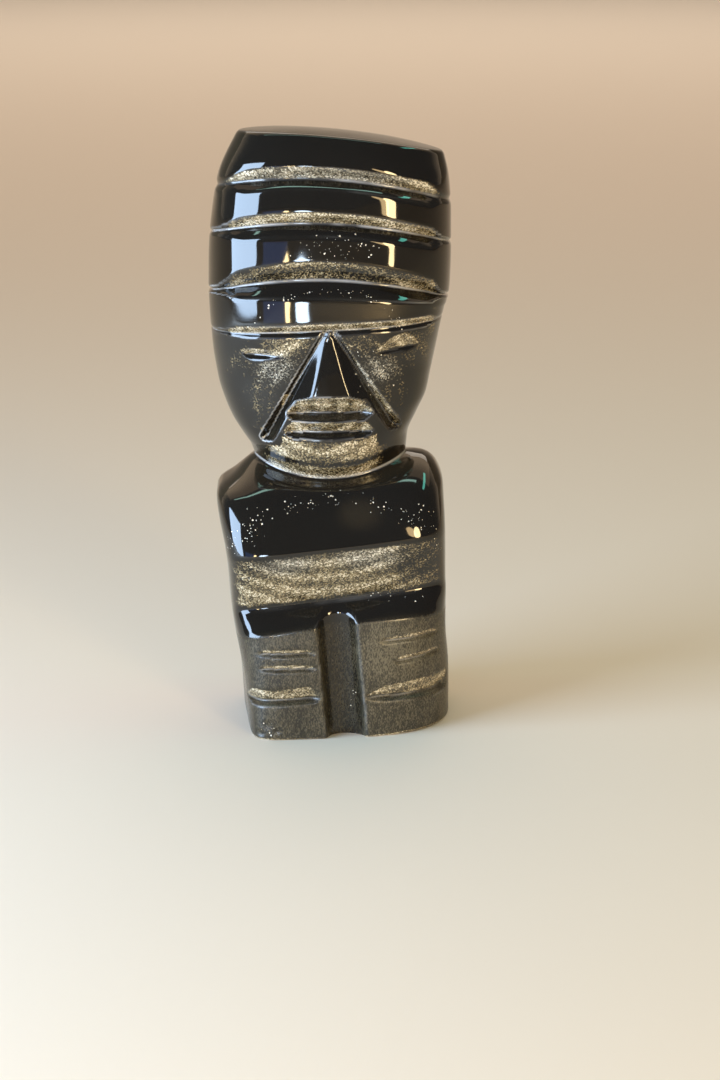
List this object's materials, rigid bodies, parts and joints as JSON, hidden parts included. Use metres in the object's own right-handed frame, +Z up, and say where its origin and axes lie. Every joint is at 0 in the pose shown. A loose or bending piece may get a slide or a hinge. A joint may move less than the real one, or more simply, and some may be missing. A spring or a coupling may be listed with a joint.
{
  "type": "stone figure",
  "caption": "Small polished black-glass stone idol: a wide banded head with a schematic face on a block body with legs, standing on its flat underside.",
  "frame": {"origin": "middle of the figure's bounding box, on the flat underside", "axes": "+Z up along the figure's height, the face looks along -Y, +X to the viewer's right"},
  "size_m": [0.0486, 0.0362, 0.1206],
  "materials": {
    "obsidian": "polished black volcanic glass with a gold sheen on the faces that look down"
  },
  "bodies": {
    "root": {"stone_figure": "obsidian"}
  },
  "joints": []
}
